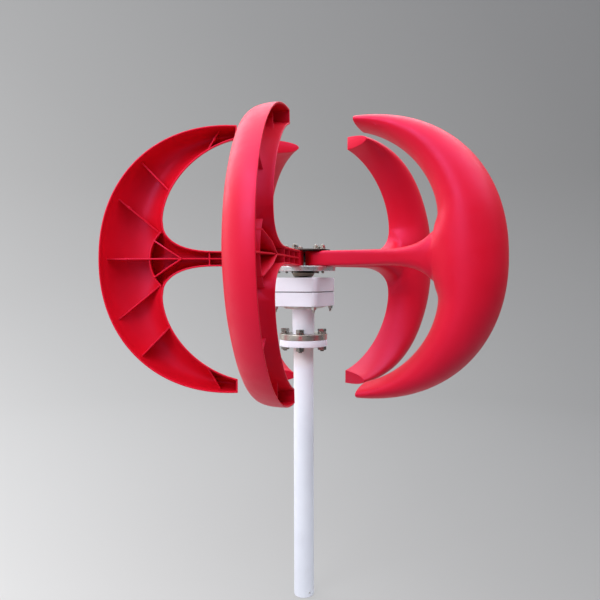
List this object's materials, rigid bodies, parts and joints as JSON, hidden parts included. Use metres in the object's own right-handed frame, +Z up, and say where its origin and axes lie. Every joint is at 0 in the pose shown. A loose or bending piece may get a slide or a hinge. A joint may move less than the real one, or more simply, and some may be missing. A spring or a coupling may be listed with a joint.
{
  "type": "vertical axis wind turbine",
  "caption": "Small vertical axis wind turbine: red ribbed scoop blades on stems clamped in a hub, above a square white generator on a flanged neck and tubular mast.",
  "frame": {"origin": "centre of the mast's open lower end", "axes": "+Z up along the mast and the rotor's axis; +X to the right and +Y away from the viewer in the pictured view"},
  "size_m": [0.8439, 0.8545, 1.0607],
  "materials": {
    "blade_plastic": "satin gloss moulded red plastic",
    "white_paint": "smooth white powder coat",
    "zinc_steel": "bright zinc plate",
    "dark_steel": "dark oiled steel",
    "cast_aluminium": "machined aluminium",
    "bearing_steel": "ground steel",
    "black_rubber": "matt black rubber",
    "copper_wire": "enamelled copper wire",
    "core_steel": "stacked electrical steel",
    "plated_magnet": "nickel plated magnet ring"
  },
  "bodies": {
    "mast": {"bearing_circlip": "zinc_steel", "flange_bolt_1": "zinc_steel", "flange_bolt_2": "zinc_steel", "flange_bolt_3": "zinc_steel", "flange_bolt_4": "zinc_steel", "flange_nut_1": "zinc_steel", "flange_nut_2": "zinc_steel", "flange_nut_3": "zinc_steel", "flange_nut_4": "zinc_steel", "housing_bolt_1": "zinc_steel", "housing_bolt_2": "zinc_steel", "housing_bolt_3": "zinc_steel", "housing_bolt_4": "zinc_steel", "housing_gasket": "black_rubber", "lead_grommet": "black_rubber", "lower_bearing_outer": "bearing_steel", "lower_housing": "white_paint", "mast_flange": "white_paint", "mast_tube": "white_paint", "neck_flange": "zinc_steel", "neck_screw_1": "zinc_steel", "neck_screw_2": "zinc_steel", "neck_screw_3": "zinc_steel", "neck_screw_4": "zinc_steel", "neck_tube": "white_paint", "shaft_seal": "black_rubber", "stator_core": "core_steel", "stator_winding": "copper_wire", "upper_bearing_outer": "bearing_steel", "upper_housing": "white_paint", "wave_washer": "bearing_steel"},
    "rotor": {"blade_1": "blade_plastic", "blade_2": "blade_plastic", "blade_3": "blade_plastic", "blade_4": "blade_plastic", "blade_5": "blade_plastic", "blade_bolt_1": "zinc_steel", "blade_bolt_2": "zinc_steel", "blade_bolt_3": "zinc_steel", "blade_bolt_4": "zinc_steel", "blade_bolt_5": "zinc_steel", "blade_bolt_6": "zinc_steel", "blade_bolt_7": "zinc_steel", "blade_bolt_8": "zinc_steel", "blade_bolt_9": "zinc_steel", "blade_bolt_10": "zinc_steel", "hub_flange": "cast_aluminium", "hub_top_plate": "dark_steel", "generator_shaft": "bearing_steel", "hub_key": "bearing_steel", "shaft_nut": "zinc_steel", "shaft_collar": "dark_steel", "dust_ring": "black_rubber", "upper_bearing_inner": "bearing_steel", "upper_bearing_cage": "bearing_steel", "lower_bearing_inner": "bearing_steel", "lower_bearing_cage": "bearing_steel", "rotor_core": "core_steel", "rotor_magnet": "plated_magnet"}
  },
  "joints": [
    {"name": "rotor_spin", "type": "hinge", "parent": "mast", "child": "rotor", "pos_m": [0, 0, 0.761], "axis": [0, 0, 1], "continuous": true}
  ]
}
